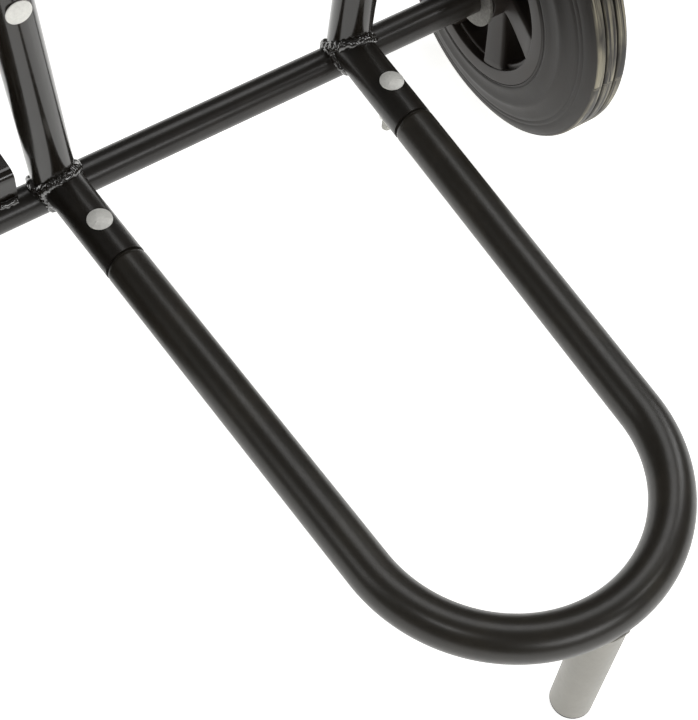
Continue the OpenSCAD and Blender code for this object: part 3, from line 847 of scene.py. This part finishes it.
class OBJECT_OT_dolly_pins(PieceOperator, bpy.types.Operator):
    """Split pins: one bent wire each, with a round eye and two legs turned apart under the axle"""
    bl_idname = "object.dolly_pins"
    bl_label = "Split pins"

    def execute(self, context):
        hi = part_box("split_pins")[1]
        wire, loop = 0.8 * MM, 3.4 * MM
        eye = np.array([0.0, 0.0, hi.z - 4.4 * MM])
        ring = arc(eye, np.array([0, -0.35, -0.94]), np.array([0, -0.94, 0.35]), loop, 2 * np.pi - 0.72, 30)
        leg = np.array([(-5.0, -15.4), (-3.4, -14.6), (-1.7, -13.2), (-1.0, -12.0), (-0.85, -10.6),
                        (-0.85, -4), (-0.85, 3), (-0.85, 9), (-0.95, 11.2)]) * MM
        shells = []
        for side in (1, -1):
            x = side * (hi.x - 1.8 * MM)
            down = np.stack([np.zeros(len(leg)), leg[:, 0], leg[:, 1] + AXLE.z], 1)
            path = np.vstack([down, ring, (down * (1, -1, 1))[::-1]]) + (x, AXLE.y, 0)
            shells.append(swept(path, wire, around=12))
        piece = mesh_piece("split_pins_bent", *joined(shells), 60.0)
        on_body(piece, "frame", zinc_plate("Bright zinc plate", self.colours.zinc), "split_pins")
        return {"FINISHED"}


class OBJECT_OT_dolly_rubber(PieceOperator, bpy.types.Operator):
    """Rubber parts: a ribbed grip round the top bar and the plug in the front leg"""
    bl_idname = "object.dolly_rubber"
    bl_label = "Grip and foot"

    def execute(self, context):
        lo, hi = GRIP_LO, GRIP_HI
        big, bore = (hi.z - lo.z) / 2, UPRIGHT_R + 0.06 * MM
        x = np.linspace(lo.x, hi.x, 530)
        edge = np.minimum(x - lo.x, hi.x - x)
        rib = 0.5 + 0.5 * np.cos(2 * np.pi * x / self.sizes.grip_rib)
        body = big - 1.5 * MM + 0.95 * MM * rib ** 0.6
        body = np.where(edge < 5 * MM, big, body)
        body = body - 1.6 * MM * np.clip(1 - edge / (1.6 * MM), 0, 1) ** 2
        profile = np.vstack([np.stack([x, body], 1), [(hi.x, bore), (lo.x, bore)]])
        middle = (0, (lo.y + hi.y) / 2, (lo.z + hi.z) / 2)
        grip = mesh_piece("handle_grip_ribbed", *revolved(profile, middle, (1, 0, 0), around=80), 60.0)
        rubber = moulded("Moulded black rubber", linear("#1b1b1b"), 0.6, 0.7, 0.3)
        on_body(grip, "frame", rubber, "handle_grip")
        foot_lo, foot_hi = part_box("leg_foot")
        tall = foot_hi.z - foot_lo.z
        section = [(0.0, 0.02 * MM), (0.0, LEG_R - 3.2 * MM), (0.5 * MM, LEG_R - 1.6 * MM),
                   (1.4 * MM, LEG_R - 0.4 * MM), (2.6 * MM, LEG_R), (4.0 * MM, LEG_R),
                   (4.0 * MM, LEG_R - 1.5 * MM), (tall, LEG_R - 1.6 * MM), (tall, 0.02 * MM)]
        place = (0, TOE_FRONT, foot_lo.z)
        foot = mesh_piece("leg_foot_plug", *revolved(section, place, (0, 0, 1), 72, closed=False), 40.0)
        on_body(foot, "frame", moulded("Moulded black plug", linear("#232322"), 0.5), "leg_foot")
        return {"FINISHED"}


class OBJECT_OT_dolly_foot_plate(PieceOperator, bpy.types.Operator):
    """Foot plate: one folded sheet with a bend radius and rounded corners"""
    bl_idname = "object.dolly_foot_plate"
    bl_label = "Foot plate"

    def execute(self, context):
        lo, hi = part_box("foot_plate")
        thick, bend = 3.0 * MM, 5.0 * MM
        foot = AXLE.z + math.sqrt(CROSS_R ** 2 - (thick / 2) ** 2) - 0.6 * MM
        rise, run = hi.z - thick / 2 - bend - foot, hi.y - AXLE.y - bend
        quarter = bend * math.pi / 2
        s = np.concatenate([np.linspace(0, rise, 14)[:-1], rise + np.linspace(0, quarter, 12)[:-1],
                            rise + quarter + np.linspace(0, run, 60)])
        turn = np.clip((s - rise) / bend, 0, math.pi / 2)
        after = np.maximum(s - rise - quarter, 0)
        y = AXLE.y + bend * (1 - np.cos(turn)) + after
        z = foot + np.minimum(s, rise) + bend * np.sin(turn)
        corner = 22.0 * MM
        into = np.clip(after - (run - corner), 0, corner)
        half = (hi.x - lo.x) / 2 - corner + np.sqrt(np.maximum(corner ** 2 - into ** 2, (0.6 * MM) ** 2))
        u = np.linspace(-1, 1, 90)
        x = (hi.x + lo.x) / 2 + half[:, None] * u[None]
        # The sheet's two faces: the middle surface moved half the thickness along its normal.
        out_y, out_z = -np.cos(turn), np.sin(turn)
        shells = []
        for move in (thick / 2, -thick / 2):
            moved_y = np.broadcast_to((y + out_y * move)[:, None], x.shape)
            moved_z = np.broadcast_to((z + out_z * move)[:, None], x.shape)
            shells.append(np.stack([x, moved_y, moved_z], -1))
        around = np.concatenate([shells[0], shells[1][:, ::-1]], 1)
        rows, cols = around.shape[:2]
        piece = mesh_piece("foot_plate_folded", around.reshape(-1, 3), ring_faces(rows, cols), 40.0)
        on_body(piece, "frame", coat("Gloss black powder coat", self.colours.coat), "foot_plate")
        return {"FINISHED"}


class OBJECT_OT_dolly_finishes(PieceOperator, bpy.types.Operator):
    """Finishes of the frame's own tubes, rod, bushes and leg, which keep their machined shapes"""
    bl_idname = "object.dolly_finishes"
    bl_label = "Frame finishes"

    def execute(self, context):
        gloss = coat("Gloss black powder coat", self.colours.coat)
        soft = coat("Rubbed black powder coat", self.colours.coat, 0.33, gloss=0.35)
        natural = moulded("Natural nylon", linear("#c9c4b2"), 0.4, 0.6, 0.1, 1.1)
        # The axle rod takes the darkened zinc, which is painted shade.
        chosen = {"axle_tube": soft, "upright_socket_left": gloss, "upright_socket_right": gloss,
                  "toe_socket_left": soft, "toe_socket_right": soft, "lower_cradle_bar": gloss,
                  "upper_cradle_bar": gloss, "toe_leg": self.leg_finish(), "axle_rod": self.shade_darkened_zinc_finish(),
                  "bush_left": natural, "bush_right": natural}
        for name, finish in chosen.items():
            slots = frame["nodes"][name].data.materials
            slots.clear()
            slots.append(finish)
        return {"FINISHED"}


class OBJECT_OT_dolly_stage(PieceOperator, bpy.types.Operator):
    """Stage: a pale floor, soft studio lights and the camera"""
    bl_idname = "object.dolly_stage"
    bl_label = "Stage"

    def soft_box(self, name, place, aim, wide, tall, power):
        light = bpy.data.lights.new(name, "AREA")
        light.shape, light.size, light.size_y, light.energy = "RECTANGLE", wide, tall, power
        made = bpy.data.objects.new(name, light)
        made.location = place
        made.rotation_mode = "QUATERNION"
        made.rotation_quaternion = (Vector(aim) - Vector(place)).to_track_quat("-Z", "Y")
        bpy.context.scene.collection.objects.link(made)

    def execute(self, context):
        scene = bpy.context.scene
        far = 14.0
        points = np.array([(-far, -far, 0), (far, -far, 0), (far, far, 0), (-far, far, 0)])
        mesh = bpy.data.meshes.new("studio_floor")
        mesh.from_pydata(points.tolist(), [], [(0, 1, 2, 3)])
        floor = bpy.data.objects.new("studio_floor", mesh)
        scene.collection.objects.link(floor)
        made, tree, shader = bare("Matt white paint")
        where = node(tree, "ShaderNodeTexCoord")
        cloud = noise(tree, where, 0.5, Detail=3.0)
        tone = ramp(tree, cloud, "Fac", 0.2, 0.8, rgba(self.colours.floor, 0.985), rgba(self.colours.floor))
        tree.links.new(tone.outputs["Color"], shader.inputs["Base Color"])
        dial(shader, {"Roughness": 0.9, "Specular IOR Level": 0.1})
        # A sweep lit from below, as for cut-out pictures: it stays white where the wheels would shade it.
        shader.inputs["Emission Color"].default_value = (1.0, 1.0, 0.985, 1.0)
        shader.inputs["Emission Strength"].default_value = 0.85
        floor.data.materials.append(made)

        world = bpy.data.worlds.new("Studio")
        world.use_nodes = True
        world.node_tree.nodes["Background"].inputs["Color"].default_value = (1.0, 1.0, 0.99, 1.0)
        world.node_tree.nodes["Background"].inputs["Strength"].default_value = 0.10
        scene.world = world
        self.soft_box("overhead box", (0.9, 1.2, 3.4), (0, 0, 0), 1.8, 1.6, 23)
        self.soft_box("front box", (0.3, -2.6, 1.6), (0, 0, 0), 1.6, 0.7, 17)
        self.soft_box("left box", (-2.6, 0.6, 2.2), (0, 0, 0.2), 0.6, 1.4, 7)
        self.soft_box("right box", (2.6, 0.2, 2.4), (0, 0, 0.2), 0.6, 1.4, 16)
        self.soft_box("sparkle lamp", (-1.3, -0.9, 2.6), (0, 0, 0.1), 0.22, 0.22, 5)
        self.soft_box("second sparkle lamp", (1.6, -1.4, 2.4), (0, 0, 0.1), 0.22, 0.22, 4)

        lens = bpy.data.cameras.new("Camera")
        lens.lens, lens.sensor_width = self.sizes.camera_lens, 36.0
        lens.clip_start, lens.clip_end = 0.02, 60.0
        camera = bpy.data.objects.new("Camera", lens)
        camera.location = Vector(self.sizes.camera_place)
        look = Vector(self.sizes.camera_aim) - camera.location
        camera.rotation_mode = "QUATERNION"
        camera.rotation_quaternion = (look.to_track_quat("-Z", "Y")
                                      @ Quaternion((0, 0, 1), self.sizes.camera_roll))
        scene.collection.objects.link(camera)
        scene.camera = camera
        scene.view_settings.view_transform = "Standard"
        scene.view_settings.look = "None"
        return {"FINISHED"}


class VIEW3D_PT_dolly(bpy.types.Panel):
    """Sidebar panel of the drum dolly's pieces"""
    bl_idname = "VIEW3D_PT_dolly"
    bl_label = "Drum dolly"
    bl_space_type = "VIEW_3D"
    bl_region_type = "UI"
    bl_category = "Drum dolly"

    def draw(self, context):
        for group in (context.scene.dolly_sizes, context.scene.dolly_colours):
            for key in group.bl_rna.properties.keys():
                if key not in ("rna_type", "name"):
                    self.layout.prop(group, key)
        for piece in PIECES:
            self.layout.operator(piece.bl_idname)


PIECES = (OBJECT_OT_dolly_finishes, OBJECT_OT_dolly_tyres, OBJECT_OT_dolly_hubs, OBJECT_OT_dolly_toe_loop,
          OBJECT_OT_dolly_handle, OBJECT_OT_dolly_welds, OBJECT_OT_dolly_bolts, OBJECT_OT_dolly_nuts,
          OBJECT_OT_dolly_pins, OBJECT_OT_dolly_rubber, OBJECT_OT_dolly_foot_plate, OBJECT_OT_dolly_stage)
CLASSES = (DollySizes, DollyColours, VIEW3D_PT_dolly) + PIECES


def register():
    for kind in CLASSES:
        bpy.utils.register_class(kind)
    bpy.types.Scene.dolly_sizes = bpy.props.PointerProperty(type=DollySizes)
    bpy.types.Scene.dolly_colours = bpy.props.PointerProperty(type=DollyColours)


def unregister():
    del bpy.types.Scene.dolly_colours
    del bpy.types.Scene.dolly_sizes
    for kind in reversed(CLASSES):
        bpy.utils.unregister_class(kind)


def main():
    register()
    for piece in PIECES:
        group, name = piece.bl_idname.split(".")
        getattr(getattr(bpy.ops, group), name)()


if __name__ == "__main__":
    main()
